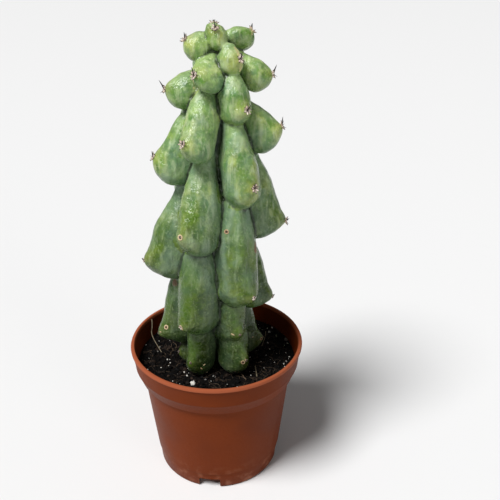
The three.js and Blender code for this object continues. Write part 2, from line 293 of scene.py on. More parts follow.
def bumped(height, distance, strength=1.0):
    """The normal of a surface that is roughened by a height."""
    inputs = {"Height": height, "Distance": distance, "Strength": strength}
    return placed(height, "ShaderNodeBump", inputs).outputs["Normal"]


def terracotta_plastic():
    """Satin plastic, a little cloudy, with a painted highlight on the lip and dust round the foot."""
    material, shader, place = new_material("terracotta_plastic")
    clouds = mottle(place, 28, 0.3, 0.7)
    body = blended(clouds, sRGB(104, 43, 11), sRGB(115, 49, 14))
    grain = mottle(place, 900, 0.25, 0.75)
    body = layered(body, grain, 0.25, (96, 39, 10))
    height = placed(place, "ShaderNodeSeparateXYZ", {"Vector": place}).outputs["Z"]
    # Painted highlight: the top of the lip is painted paler, as where the light falls on it
    lip = ramp(height, *LIP_HIGHLIGHT_HEIGHTS, kind="LINEAR")
    body = layered(body, lip, 0.8, (166, 90, 60))
    foot = ramp(height, DUST_HEIGHT, 0.0, top=0.5, kind="LINEAR")
    dust = times(foot, mottle(place, 160, 0.45, 0.75, 4))
    body = blended(dust, body, sRGB(176, 120, 92))
    rough = scaled(clouds, 0.10, 0.40)
    rough = scaled(grain, 0.06, rough)
    uneven = bumped(worked("ADD", grain, times(clouds, 4.0)), 0.00003)
    fed(shader, {"Base Color": body, "Roughness": rough, "Specular IOR Level": 0.07, "Normal": uneven})
    return material


pot = turned(POT_PROFILE, POT_SIDES)
pot.name = "nursery_pot"
drainage = drainage_cutter()
modified(pot, "BOOLEAN", object=drainage, operation="DIFFERENCE", solver="EXACT")
bpy.data.objects.remove(drainage)
finished(pot, terracotta_plastic())
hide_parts("pot")


# The cactus stem
# One grown column with six ribs, each swollen into pear-shaped lobes that hang over one another. Its skin
# is fresh green at the crown and dark lower down, with painted shade near the soil, grey with wax on the
# necks and flanks of the lobes, and rubbed bare on old crests. Painted light pales the tops of the lobes,
# and painted shade darkens their undersides and the creases between them.
SOIL_TOP = 0.084
STEM_TOP = 0.300
LEAN_FOOT = -0.002
LEAN_TOP = 0.0036
YOUNG_HEIGHT = 0.120
OLD_LOBE_DEPTH = 1.22
YOUNG_NOSE = 0.0006
OLD_NOSE = 0.0034
NOSE_SPREAD = 0.5
STEEPEST_FACING = 0.9
NECK_RING_POWER = 0.8
FULL_TURN = 6.28
LOBE_SIDES = 48
LOBE_RINGS = 36
LOBE_FOLDS = (0.008, 0.022)
GROOVE_COUNTS = (3, 5, 7, 8)
CORE_SIDES = 48
CORE_PROFILE = (
    (9, 49), (14, 55), (17, 78), (18.5, 110), (18, 155), (17, 195), (14.5, 235), (10.5, 262), (6.5, 284),
    (4, 292),
)
SKIN_GRID = 0.0008
SKIN_FACES = 190000
CREASE_ROUNDS = 2
NECK_ROUNDS = 7
DENT_SIZE = 0.011
DENT_DEPTH = 0.0014
PUCKER_SIZE = 0.0035
PUCKER_DEPTH = 0.00035
TIP_REACH = 0.006
HOLLOW_ROUNDS = 16
FULL_HOLLOW = 0.0008

# Marks that the photo shows on the skin, as lists of its pixels with the mark's half width in metres:
# brown cork where lobes have rubbed at their necks, and cream strips of old felt beside young areoles
CORK_MARKS = ((((174.8, 283),), 0.0026), (((255.6, 244), (255.8, 250)), 0.0020))
CREAM_MARKS = (
    (((235.5, 48), (239.5, 56), (241.6, 64), (240.4, 70)), 0.0013),
    (((192.8, 78), (194, 83), (193.6, 88)), 0.0007),
    (((250.5, 29), (252, 34)), 0.0009),
)

# The lobes of each rib from the crown down, in millimetres and degrees: the azimuth, height and reach from
# the axis of the areole at the lobe's tip; how far the lobe points aside; its width; how far it hangs below
# the areole; how far above it the neck starts, the neck's width and its distance from the axis, less than 0
# beyond the axis; and the length of the longest spine, 0 for bare scars.
LOBES_BY_RIB = {
    -84: (
        (-72, 298, 18.2, 0, 15.5, 12.8, 0, 9, 3, 4),
        (-78, 270.8, 30.4, 0, 18.4, 12, 9, 9, 4, 6),
        (-76, 231.5, 38.5, 0, 21.6, 17.5, 36, 12, 3, 4),
        (-74, 165, 47, 0, 27, 14.5, 52, 13, 15, 2.5),
        (-74, 109, 39.6, 0, 22, 8.5, 50, 14, 15, 0),
        (-64, 94, 27, 0, 14, 11.5, 20, 10, 12, 0),
    ),
    -27: (
        (-4, 302.8, 9.2, -10, 11.4, 11.8, 3, 8, 3, 4),
        (-28, 281, 26.4, -20, 16, 10.8, 20, 5, -12, 5),
        (-30.5, 245.2, 37, -10, 18.8, 13.5, 34, 10, 3, 3),
        (-30, 191, 42, -10, 24, 17, 52, 11.5, 9, 0),
        (-31, 129, 42.5, -8, 25.4, 12.5, 62, 13, 19, 1.5),
        (-28, 97, 33.5, 0, 18.5, 15, 40, 14.5, 16, 0),
    ),
    33: (
        (37.5, 288.6, 21.4, 7, 14.2, 10.2, 8, 7, 11.5, 4),
        (34.5, 262.2, 30, 1, 17.6, 10.5, 18.5, 9.5, 14, 4),
        (34, 218.8, 39.4, -6, 22.2, 16, 44, 10.5, 15, 4),
        (33, 148.7, 43.6, 2, 26.4, 12.5, 64, 14, 20, 2),
        (28, 118, 34.4, 0, 21, 11.5, 36, 16, 17, 0),
        (34, 98, 36.5, 4, 18.5, 14.5, 22, 16, 20, 0),
    ),
    90: (
        (98, 302.2, 21, 0, 15.5, 12.6, -4, 8, 3, 4),
        (82, 278.4, 32.8, 0, 16.4, 10.2, 16, 6.5, 6, 6),
        (80, 248.8, 39.8, 0, 20.6, 16, 27, 6.5, 4, 6),
        (78, 189, 45.3, 0, 25, 12.5, 52, 13, 13, 3),
        (74, 135.2, 40.4, 0, 20, 9, 48, 11, 14, 2.5),
        (88, 97, 34, 0, 15, 11, 30, 13, 16, 0),
    ),
    150: (
        (144, 294, 22, 0, 14.6, 12, 4, 8, 4, 4),
        (152, 266, 32, 4, 18.4, 13, 20, 8, 5, 6),
        (148, 226, 40.5, -4, 22, 16, 38, 10, 9, 4),
        (150, 168, 45, 6, 25.2, 14.5, 56, 13, 14, 2.5),
        (146, 116, 41, 0, 23, 13, 50, 14, 16, 0),
        (156, 95, 30, 0, 16, 13, 24, 12, 15, 0),
    ),
    -147: (
        (-170, 305, 7.5, 0, 8.5, 9, -2, 6, 1, 3),
        (-158, 284, 26, 6, 16.6, 12, 14, 8, 4, 6),
        (-148, 252, 36.5, 8, 20.2, 15, 30, 8, 7, 4),
        (-146, 203, 43.5, 6, 24, 17, 50, 10, 12, 3),
        (-145, 143, 43.5, -4, 25, 13, 60, 14, 15, 2),
        (-150, 102, 37, 0, 20, 14, 40, 14, 16, 0),
    ),
}


def limited(value, low, high):
    return max(low, min(high, value))


def between(low, high, share):
    return low + (high - low) * share


def axis_at(height):
    """The stem's axis leans a little, so it is a point for each height."""
    share = limited((height - SOIL_TOP) / (STEM_TOP - SOIL_TOP), 0, 1.1)
    return Vector((between(LEAN_FOOT, LEAN_TOP, share), 0, height))


def lobe_plan(rib_azimuth, row):
    """Where a lobe's areole sits and faces, and where its belly's centre and its neck's top are."""
    azimuth, height, reach, turn, width, hang, rise, neck, root, spines = row
    height, reach, width, hang, rise, neck, root, spines = (
        value * MM for value in (height, reach, width, hang, rise, neck, root, spines)
    )
    age = limited((STEM_TOP - height) / YOUNG_HEIGHT, 0, 1)
    radius = width / 2
    stretch = between(1, OLD_LOBE_DEPTH, age)
    nose = between(YOUNG_NOSE, OLD_NOSE, age)
    side = outward(azimuth + turn)
    across = Vector((-side.y, side.x, 0))
    lift = limited((hang - radius) / (radius + nose), -STEEPEST_FACING, STEEPEST_FACING)
    facing = side * math.sqrt(1 - lift * lift)
    facing.z = lift
    areole = axis_at(height) + outward(azimuth) * reach
    top = axis_at(height + rise) + outward(rib_azimuth) * root
    belly = areole - facing * radius
    for _ in range(4):
        direction = (belly - top).normalized()
        deep = (side - side.dot(direction) * direction).normalized()
        behind = radius / math.hypot(facing.dot(deep) / stretch, facing.dot(direction))
        belly = areole - facing * (behind + nose)
    return SimpleNamespace(
        height=height, width=width, neck=neck, spines=spines, age=age, radius=radius, stretch=stretch,
        nose=nose, across=across, deep=deep, direction=direction, facing=facing, areole=areole, belly=belly,
        top=top,
    )


LOBES = [lobe_plan(azimuth, row) for azimuth, rows in LOBES_BY_RIB.items() for row in rows]


def smoothstep(value, low, high):
    share = np.clip((value - low) / (high - low), 0, 1)
    return share * share * (3 - 2 * share)


def neck_ring(lobe, along):
    """The lobe's half width at a share along its neck: slim necks swell late, stout ones early."""
    stout = limited((lobe.neck / lobe.width - 0.4) / 0.2, 0, 1)
    swell = smoothstep(along, between(0.25, -0.15, stout), between(0.9, 0.55, stout))
    return lobe.neck / 2 + (lobe.radius - lobe.neck / 2) * swell


def lobe_shape(lobe, draw, grow=0.0, folds=0.0):
    """A pear that hangs from its neck, drawn out into a nose at the areole. folds is how deep the grooves
    along its neck are, as a share of its width."""
    bpy.ops.mesh.primitive_uv_sphere_add(segments=LOBE_SIDES, ring_count=LOBE_RINGS, radius=1)
    shape = bpy.context.active_object
    ball = np.array([vertex.co for vertex in shape.data.vertices])
    share = np.arccos(np.clip(ball[:, 2], -1, 1)) / math.pi
    around = np.arctan2(ball[:, 1], ball[:, 0])
    on_neck = share < 0.5
    along = np.where(on_neck, (2 * np.minimum(share, 0.5)) ** NECK_RING_POWER, 1)
    cap = np.where(on_neck, 0, math.pi * (share - 0.5))
    length = (lobe.belly - lobe.top).length
    ring = np.where(on_neck, neck_ring(lobe, along), lobe.radius * np.cos(cap)) + grow * np.cos(cap)
    ring = np.where(along > 0, ring, 0)
    grooves = sum(
        draw.uniform(0.3, 1.0) * np.cos(count * around + draw.uniform(0, FULL_TURN))
        for count in GROOVE_COUNTS
    )
    ring = ring * (1 + folds * grooves * (1 - smoothstep(along, 0.45, 0.95)))
    forward = length * along + (lobe.radius + grow) * np.sin(cap) - np.where(along > 0, 0, grow)
    points = np.array(lobe.top) + forward[:, None] * np.array(lobe.direction)
    points += (ring * np.cos(around))[:, None] * np.array(lobe.across)
    points += (ring * lobe.stretch * np.sin(around))[:, None] * np.array(lobe.deep)
    from_belly = points - np.array(lobe.belly)
    cosine = from_belly @ np.array(lobe.facing) / np.maximum(np.linalg.norm(from_belly, axis=1), 1e-9)
    angle = np.arccos(np.clip(cosine, -1, 1))
    points += (lobe.nose * np.exp(-((angle / NOSE_SPREAD) ** 2)))[:, None] * np.array(lobe.facing)
    shape.data.vertices.foreach_set("co", points.ravel())
    return shape


def core_shape(grow=0.0):
    """The column inside the ribs, from its blunt foot in the soil to the growing point."""
    radius, height = CORE_PROFILE[0]
    foot = place = Vector((axis_at(height * MM).x, 0, height * MM - grow))
    foot_size = size = radius * MM + grow
    steps = []
    for radius, height in CORE_PROFILE[1:]:
        step = axis_at(height * MM) - place
        wider = (radius * MM + grow) / size
        steps.append((step, wider))
        size, place = size * wider, place + step
    return stacked(foot, foot_size, steps, CORE_SIDES)


def dented(piece, name, size, depth, level=0.5, **settings):
    """Pushes the skin in and out by a cloud pattern with patches of some size."""
    clouds = bpy.data.textures.new(name, "CLOUDS")
    clouds.noise_scale = size
    clouds.noise_depth = 1
    modified(piece, "DISPLACE", texture=clouds, strength=depth, mid_level=level, **settings)


def rows_of(items, field, width, kind=float):
    """What a field holds for each point or edge of a mesh."""
    values = np.zeros(len(items) * width, kind)
    items.foreach_get(field, values)
    return values.reshape(-1, width)


def points_of(piece):
    return rows_of(piece.data.vertices, "co", 3)


def nearest_lobe(points):
    """For each point, which lobe it is on, and how far along it: 0 is the neck and 1 the round end."""
    nearest = np.full(len(points), 1.0)
    owner = np.zeros(len(points), int)
    along = np.zeros(len(points))
    for number, lobe in enumerate(LOBES):
        length = (lobe.belly - lobe.top).length
        offset = points - np.array(lobe.top)
        forward = offset @ np.array(lobe.direction)
        aside = offset @ np.array(lobe.across)
        depth = offset @ np.array(lobe.deep) / lobe.stretch
        beyond = np.maximum(forward - length, 0) + np.minimum(forward, 0)
        gap = np.sqrt(aside**2 + depth**2 + beyond**2) - neck_ring(lobe, np.clip(forward / length, 0, 1))
        owned = gap < nearest
        nearest = np.where(owned, gap, nearest)
        owner = np.where(owned, number, owner)
        along = np.where(owned, forward / (length + lobe.radius), along)
    return owner, along


def soften_necks(stem):
    """Flesh runs smoothly into the ribs at old necks, while lobes that only touch keep a sharp crease."""
    modified(stem, "SMOOTH", factor=0.5, iterations=CREASE_ROUNDS)
    soft = stem.vertex_groups.new(name="soft")
    owner, along = nearest_lobe(points_of(stem))
    softness = (1 - smoothstep(along, 0.1, 0.5)) * np.array([lobe.age for lobe in LOBES])[owner]
    for share in (0.2, 0.4, 0.6, 0.8, 1.0):
        inside = np.nonzero(softness > share - 0.1)[0]
        soft.add(inside.tolist(), share, "REPLACE")
    modified(stem, "SMOOTH", factor=0.5, iterations=NECK_ROUNDS, vertex_group="soft")
    stem.vertex_groups.clear()


def grown_stem():
    """Core and lobes are fused into one skin, which is then smoothed and dented as flesh is."""
    draw = random.Random(5)
    shapes = [core_shape()]
    for lobe in LOBES:
        shapes.append(lobe_shape(lobe, draw, folds=between(*LOBE_FOLDS, lobe.age)))
    stem = joined("cactus_stem", shapes)
    modified(stem, "REMESH", mode="VOXEL", voxel_size=SKIN_GRID)
    soften_necks(stem)
    dented(stem, "dents", DENT_SIZE, DENT_DEPTH)
    dented(stem, "pucker", PUCKER_SIZE, PUCKER_DEPTH)
    modified(stem, "TRIANGULATE")
    modified(stem, "DECIMATE", ratio=min(1, SKIN_FACES / len(stem.data.polygons)))
    return stem


def stored(piece, name, values):
    """Keeps a value for each vertex, for the material to read."""
    attribute = piece.data.attributes.new(name, "FLOAT", "POINT")
    attribute.data.foreach_set("value", values.astype(np.float32))


def kept(place, name):
    """The value that is stored under a name for each vertex."""
    return placed(place, "ShaderNodeAttribute", {}, attribute_name=name).outputs["Fac"]


def neighbour_mean(values, edges, counts):
    """For each point, the mean value of the points that an edge joins to it."""
    total = np.zeros_like(values)
    for column in range(values.shape[1]):
        one, other = edges[:, 0], edges[:, 1]
        total[:, column] = np.bincount(one, values[other, column], len(values))
        total[:, column] += np.bincount(other, values[one, column], len(values))
    return total / counts[:, None]


def marked(surface, points, marks):
    """How strongly each point is covered by marks, which are spots or strips of spots side by side."""
    cover = np.zeros(len(points))
    for pixels, half_width in marks:
        spots = [np.array(seen_on(surface, pixel)[0]) for pixel in pixels]
        for start, end in zip(spots, spots[1:] + spots[-1:]):
            for share in np.linspace(0, 1, 7):
                away = np.linalg.norm(points - (start + (end - start) * share), axis=1)
                cover = np.maximum(cover, np.exp(-((away / half_width) ** 2)))
    return cover


def mark_skin(stem):
    """Works out, for each point of the skin, where it lies on its lobe, and how deep in a crease."""
    points = points_of(stem)
    normals = rows_of(stem.data.vertices, "normal", 3)
    edges = rows_of(stem.data.edges, "vertices", 2, np.int32)
    tip = np.zeros(len(points))
    for lobe in LOBES:
        from_areole = np.linalg.norm(points - np.array(lobe.areole), axis=1)
        tip = np.maximum(tip, np.exp(-((from_areole / TIP_REACH) ** 2)))
    counts = np.bincount(edges.ravel(), minlength=len(points))
    smoothed = points.copy()
    for _ in range(HOLLOW_ROUNDS):
        smoothed = neighbour_mean(smoothed, edges, counts)
    hollow = np.sum((smoothed - points) * normals, axis=1) / FULL_HOLLOW
    owner, along = nearest_lobe(points)
    outwards = np.array([lobe.deep for lobe in LOBES])[owner]
    stored(stem, "along", along)
    stored(stem, "crest", np.clip(np.sum(normals * outwards, axis=1), 0, 1))
    stored(stem, "tip", tip)
    stored(stem, "hollow", np.clip(hollow, -1, 1))
    surface = surface_of(stem)
    stored(stem, "cork", marked(surface, points, CORK_MARKS))
    stored(stem, "cream", marked(surface, points, CREAM_MARKS))


def cactus_skin():
    """Greens by age, darker near the soil partly by painted shade, mottled and streaked, then wax, a painted
    highlight on up-facing skin, painted shade on undersides and in creases, and marks.
    """
    material, shader, place = new_material("cactus_skin")
    hanging = placed(place, "ShaderNodeMapping", {"Vector": place, "Scale": (1, 1, 0.3)}).outputs["Vector"]
    fine = placed(place, "ShaderNodeMapping", {"Vector": place, "Scale": (1, 1, 0.12)}).outputs["Vector"]
    height = placed(place, "ShaderNodeSeparateXYZ", {"Vector": place}).outputs["Z"]
    old = ramp(height, 0.27, 0.15)
    # Darker towards the soil: older skin, and partly painted shade where less light reaches the foot
    low = ramp(height, 0.165, 0.092)
    fresh = mottle(place, 120, 0.34, 0.66, 5)
    young_green = blended(fresh, sRGB(82, 128, 42), sRGB(144, 174, 88))
    old_green = blended(mottle(place, 110, 0.34, 0.66, 5), sRGB(38, 66, 2), sRGB(84, 106, 14))
    green = blended(old, young_green, old_green)
    green = layered(green, low, 0.82, (32, 50, 6))
    yellow = times(mottle(hanging, 130, 0.5, 0.64, 5), ramp(height, 0.12, 0.22))
    green = layered(green, yellow, ramp(height, 0.14, 0.26, 0.2, 0.6), (188, 196, 106))
    shade = mottle(place, 210, 0.5, 0.64, 5)
    green = layered(green, shade, 0.38, (42, 70, 26))
    cool = mottle(place, 90, 0.5, 0.62, 5)
    green = layered(green, cool, ramp(height, 0.13, 0.25, 0.08, 0.4), (98, 132, 108))
    streaks = mottle(hanging, 260, 0.52, 0.68, 5)
    green = layered(green, streaks, ramp(height, 0.13, 0.26, 0.07, 0.5), (190, 206, 154))
    lines = mottle(fine, 420, 0.55, 0.72, 2)
    green = layered(green, lines, ramp(height, 0.13, 0.26, 0.1, 0.48), (190, 206, 164))
    specks = mottle(place, 640, 0.56, 0.7, 3)
    green = layered(green, specks, ramp(height, 0.12, 0.24, 0.22, 0.45), (172, 190, 132))
    rubbed = times(ramp(kept(place, "crest"), 0.7, 0.95), old)
    green = layered(green, rubbed, 0.45, (68, 100, 6))
    neck = ramp(kept(place, "along"), 0.62, 0.12)
    flank = ramp(kept(place, "crest"), 0.75, 0.3)
    flank = times(flank, ramp(height, 0.27, 0.2, 0.35, 0.8))
    clouds = mottle(place, 70, 0.45, 0.7, 3)
    bloom = worked("MAXIMUM", neck, flank)
    bloom = worked("MAXIMUM", bloom, times(clouds, 0.5))
    worn = scaled(mottle(hanging, 130, 0.3, 0.7, 3), 0.65, 0.35)
    bloom = times(bloom, worn)
    wax = blended(old, sRGB(138, 168, 146), sRGB(106, 130, 112))
    waxy = times(bloom, ramp(height, 0.25, 0.29, 1, 0.45))
    skin = blended(times(waxy, ramp(height, 0.085, 0.18, 0.18, 0.85)), green, wax)
    # Painted highlight: skin that faces up is painted paler, as where the light falls on it
    facing = placed(place, "ShaderNodeNewGeometry", {}).outputs["Normal"]
    upward = placed(place, "ShaderNodeSeparateXYZ", {"Vector": facing}).outputs["Z"]
    skin = layered(skin, ramp(upward, 0.25, 0.95), ramp(height, 0.15, 0.27, 0.08, 0.3), (190, 212, 152))
    # Painted shade: skin that faces down is painted darker
    skin = layered(skin, ramp(upward, 0.0, -0.8), 0.45, (50, 78, 24))
    tip = times(kept(place, "tip"), mottle(place, 160, 0.35, 0.6))
    skin = layered(skin, tip, ramp(height, 0.12, 0.22, 0.12, 0.5), (176, 178, 98))
    # Painted shade: the creases between the lobes are painted dark, as where little light reaches
    crease = ramp(kept(place, "hollow"), 0.15, 0.9)
    skin = layered(skin, crease, 0.85, (26, 38, 24))
    ragged = scaled(mottle(place, 700, 0.3, 0.7, 3), 0.5, 0.6)
    cork = ramp(times(kept(place, "cork"), ragged), 0.25, 0.5)
    skin = layered(skin, cork, 0.9, (126, 96, 72))
    cream = ramp(times(kept(place, "cream"), ragged), 0.3, 0.55)
    skin = layered(skin, cream, 0.8, (206, 196, 140))
    rough = scaled(waxy, 0.26, 0.2)
    rough = scaled(streaks, 0.08, rough)
    rough = scaled(cork, 0.35, rough)
    pores = worked("ADD", mottle(place, 1100, 0.3, 0.7), times(lines, 1.4))
    pores = scaled(cork, 3.0, pores)
    pores = scaled(mottle(hanging, 130, 0.3, 0.7, 2), 7.0, pores)
    pores = scaled(mottle(place, 330, 0.3, 0.7, 4), 4.0, pores)
    uneven = bumped(pores, 0.0001, 0.7)
    fed(shader, {"Base Color": skin, "Roughness": rough, "Specular IOR Level": 0.42, "Normal": uneven})
    fed(shader, {"Sheen Weight": 0.05, "Sheen Roughness": 0.4, "Sheen Tint": sRGB(214, 232, 206)})
    depths = {"Subsurface Weight": 0.03, "Subsurface Radius": (0.5, 1.0, 0.25), "Subsurface Scale": 0.003}
    fed(shader, depths)
    return material


stem = grown_stem()
mark_skin(stem)
finished(stem, cactus_skin())
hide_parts("stem")


# The soil
# Dark peat mix, filled in round the stem to a finger's width below the lip. Its top is low heaps broken
# into clods, a little higher on one side, and each low lobe has pressed its own hollow.
SOIL_SIDES = 128
SOIL_RINGS = 46
SOIL_PROFILE = ((42.35, 9.35), (44.05, 13.4), (50.45, 73.2), (52.55, 75.0), (54.6, 83.0))
SOIL_EDGE = 0.0825
CLOD_SIZE = 0.004
CLOD_DEPTH = 0.0012
CUTTER_GAP = 0.0004
HOLE_GRID = 0.0015
LOW_LOBE = 0.125


def soil_height(x, y):
    """Low heaps and lumps, and a slope towards one side of the pot."""
    x, y = x / MM, y / MM
    heap = 0.9 * math.sin(x * 0.11 + 1.3) * math.cos(y * 0.13)
    lumps = 0.7 * math.sin(x * 0.41 + y * 0.23) * math.sin(y * 0.37 - x * 0.19)
    return SOIL_TOP + (heap + lumps + 1.5 * x / 60) * MM


def filled_soil():
    """The mix fills the pot, and its flat top is moved up and down to the heaps and broken into clods."""
    soil = turned(SOIL_PROFILE, SOIL_SIDES, SOIL_RINGS)
    for vertex in soil.data.vertices:
        if vertex.co.z > SOIL_EDGE:
            vertex.co.z = soil_height(vertex.co.x, vertex.co.y)
    dented(soil, "clods", CLOD_SIZE, CLOD_DEPTH, 0.6, direction="Z")
    return soil


def stem_hole():
    """A little wider than the stem all round, as the hole that it stands in."""
    draw = random.Random(1)
    low = [lobe_shape(lobe, draw, grow=CUTTER_GAP) for lobe in LOBES if lobe.height < LOW_LOBE]
    hole = joined("stem_hole", [core_shape(CUTTER_GAP)] + low)
    modified(hole, "REMESH", mode="VOXEL", voxel_size=HOLE_GRID)
    return hole


def peat():
    """Nearly black, broken by paler fibres."""
    material, shader, place = new_material("peat")
    crumbs = mottle(place, 500, 0.4, 0.7, 4)
    brown = blended(crumbs, sRGB(5, 4, 3), sRGB(15, 11, 9))
    fibres = mottle(place, 160, 0.6, 0.7, 4)
    brown = layered(brown, fibres, 0.4, (30, 23, 19))
    rough = bumped(crumbs, 0.0006)
    fed(shader, {"Base Color": brown, "Roughness": 0.85, "Specular IOR Level": 0.12, "Normal": rough})
    return material


PEAT = peat()
soil = filled_soil()
soil.name = "peat_mix"
hole = stem_hole()
modified(soil, "BOOLEAN", object=hole, operation="DIFFERENCE", solver="EXACT")
bpy.data.objects.remove(hole)
finished(soil, PEAT)
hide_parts("soil")


# The areoles
# Each lobe ends in an areole, a cushion of grey-brown felt. All but the oldest bear a star of stubby pale
# spines with dark tips and one longer dark spine, and young ones a few thin dark needles as well.
FELT_REACH = 0.004
STUB_PROFILE = ((0.8, 0), (1.0, 0.22), (0.95, 0.45), (0.6, 0.72), (0.25, 0.9), (0.05, 1.0))
NEEDLE_PROFILE = ((1.0, 0), (1.15, 0.08), (0.8, 0.4), (0.5, 0.75), (0.08, 1.0))
STUB_WIDTH = 0.00058
NEEDLE_WIDTH = 0.00021
LONG_WIDTH = 0.00052
YOUNG_SPINE = 0.003
DRAW_STEPS = 4294967296
SOLID_NEEDLES = 3
CUSHION_HEIGHT = 0.45
YOUNG_CUSHION = (0.0012, 0.0014)
OLD_CUSHION = (0.0009, 0.0011)
YOUNG_STUB = (0.0021, 0.0032)
OLD_STUB = (0.0010, 0.0016)
NEEDLE_LENGTH = (0.0026, 0.0038)
STUB_SWAY = 70
TOP_MARGIN = 0.0002


def repeatable(seed):
    """Draws that are the same each time, and the same as those that turned the spines of the solid."""
    state = seed

    def draw(low, high):
        nonlocal state
        state = (state * 1664525 + 1013904223) % DRAW_STEPS
        return low + (high - low) * state / DRAW_STEPS

    return draw


def frame_along(place, direction, width, length, spin=0.0):
    """Where a shape of unit size stands: its root at the place, and its height along the direction."""
    turn = direction.to_track_quat("Z", "Y").to_matrix().to_4x4()
    size = Matrix.Diagonal((width, width, length, 1))
    return Matrix.Translation(place) @ turn @ Matrix.Rotation(spin, 4, "Z") @ size


def scattered(name, shape, frames, material, draw):
    """One piece with a copy of the shape in each frame. Each copy keeps a tone of its own, and each of its
    points how far up the shape it is, for the material to read."""
    points = points_of(shape)
    faces = [list(polygon.vertices) for polygon in shape.data.polygons]
    share = (points[:, 2] - points[:, 2].min()) / np.ptp(points[:, 2])
    moved, copies = [], []
    for number, placing in enumerate(frames):
        turn = np.array(placing)
        moved.append(points @ turn[:3, :3].T + turn[:3, 3])
        copies += [[corner + number * len(points) for corner in face] for face in faces]
    mesh = bpy.data.meshes.new(name)
    mesh.from_pydata(np.concatenate(moved).tolist(), [], copies)
    piece = bpy.data.objects.new(name, mesh)
    bpy.context.collection.objects.link(piece)
    bpy.data.objects.remove(shape)
    tones = np.array([draw.random() for _ in frames])
    stored(piece, "share", np.tile(share, len(frames)))
    stored(piece, "tone", np.repeat(tones, len(points)))
    finished(piece, material)


def slim(profile, sides):
    """A slender cone of unit size from an outline in shares of its width and length."""
    shape = turned(profile, sides)
    shape.data.transform(Matrix.Scale(1 / MM, 4))
    return shape


def felt_cushion():
    """A domed cushion of unit size, its face broken into tufts."""
    bpy.ops.mesh.primitive_uv_sphere_add(segments=28, ring_count=16, radius=1)
    cushion = bpy.context.active_object
    dented(cushion, "tufts", 0.45, 0.45)
    return cushion


def spine_material(name, root, middle, tip, turning):
    """Root to tip colours of a spine, with the middle colour where it turns from one to the other."""
    material, shader, place = new_material(name)
    pale = blended(kept(place, "tone"), sRGB(*root), sRGB(*middle))
    patches = mottle(place, 1400, 0.4, 0.65, 3)
    pale = layered(pale, patches, 0.35, tip)
    darkening = ramp(kept(place, "share"), turning - 0.12, turning + 0.12)
    colour = blended(darkening, pale, sRGB(*tip))
    fed(shader, {"Base Color": colour, "Roughness": 0.55, "Normal": bumped(patches, 0.00008)})
    return material


def felt():
    """Tufts of short grey-brown hairs."""
    material, shader, place = new_material("areole_felt")
    hairs = mottle(place, 2600, 0.35, 0.65, 3)
    tufts = mottle(place, 900, 0.4, 0.62, 2)
    colour = blended(tufts, sRGB(66, 46, 34), sRGB(150, 128, 102))
    colour = layered(colour, hairs, 0.5, (44, 30, 22))
    rough = bumped(hairs, 0.0002)
    fed(shader, {"Base Color": colour, "Roughness": 0.95, "Sheen Weight": 0.4, "Normal": rough})
    return material


def below_top(root, direction, length):
    """Shortens a spine that would stand higher than the solid's own top."""
    steep = direction.normalized().z
    room = cad_box[1][2] - TOP_MARGIN - root.z
    return min(length, room / steep) if steep > 0 else length


def star_arm(lobe, up, angle):
    """The direction that an angle points to on the face of an areole."""
    return lobe.across * math.cos(angle) + up * math.sin(angle)


skin_surface = surface_of(stem)
draw = random.Random(8)
same_draw = repeatable(7)
cushions, stubs, needles, long_spines = [], [], [], []
for lobe in LOBES:
    found, facing, _, _ = skin_surface.ray_cast(lobe.areole + lobe.facing * FELT_REACH, -lobe.facing)
    if found is None:
        found, facing = lobe.areole, lobe.facing
    up = lobe.across.cross(lobe.facing)
    up = up if up.z > 0 else -up
    young = lobe.spines >= YOUNG_SPINE
    if lobe.spines > 0:
        rise, aside = same_draw(0.6, 1.6), same_draw(-0.4, 0.4)
        turn = same_draw(0, 90)
        # The solid has needles of its own here, so their draws are passed over
        for _ in range(SOLID_NEEDLES if young else 0):
            same_draw(0, 1)
        direction = (lobe.facing + up * rise + lobe.across * aside).normalized()
        length = below_top(found, direction, lobe.spines)
        long_spines.append(frame_along(found, direction, LONG_WIDTH, length))
    else:
        turn = draw.uniform(0, 90)
    size = draw.uniform(*(YOUNG_CUSHION if young else OLD_CUSHION))
    cushions.append(frame_along(found, facing, size, size * CUSHION_HEIGHT, draw.uniform(0, 6)))
    if lobe.spines == 0:
        continue
    count = draw.choice((6, 7)) if young else draw.choice((4, 5))
    for number in range(count):
        angle = math.radians(turn + (360 * number + draw.uniform(-STUB_SWAY, STUB_SWAY)) / count)
        aside = star_arm(lobe, up, angle)
        root = found + aside * size * CUSHION_HEIGHT
        length = draw.uniform(*(YOUNG_STUB if young else OLD_STUB))
        width = STUB_WIDTH * draw.uniform(0.8, 1.15)
        direction = aside + facing * draw.uniform(0.25, 0.7)
        stubs.append(frame_along(root, direction, width, below_top(root, direction, length)))
        if young and number % 2 == 0:
            length = draw.uniform(*NEEDLE_LENGTH)
            direction = star_arm(lobe, up, angle + math.pi / count) + facing * draw.uniform(0.5, 1.1)
            needles.append(frame_along(found, direction, NEEDLE_WIDTH, below_top(found, direction, length)))

scattered("areole_cushions", felt_cushion(), cushions, felt(), draw)
stub = spine_material("stub_spine", (240, 226, 212), (220, 196, 178), (46, 28, 20), 0.74)
scattered("stub_spines", slim(STUB_PROFILE, 9), stubs, stub, draw)
needle = spine_material("dark_spine", (64, 42, 32), (38, 26, 21), (20, 14, 12), 0.55)
scattered("needle_spines", slim(NEEDLE_PROFILE, 7), needles, needle, draw)
scattered("long_spines", slim(NEEDLE_PROFILE, 9), long_spines, needle, draw)


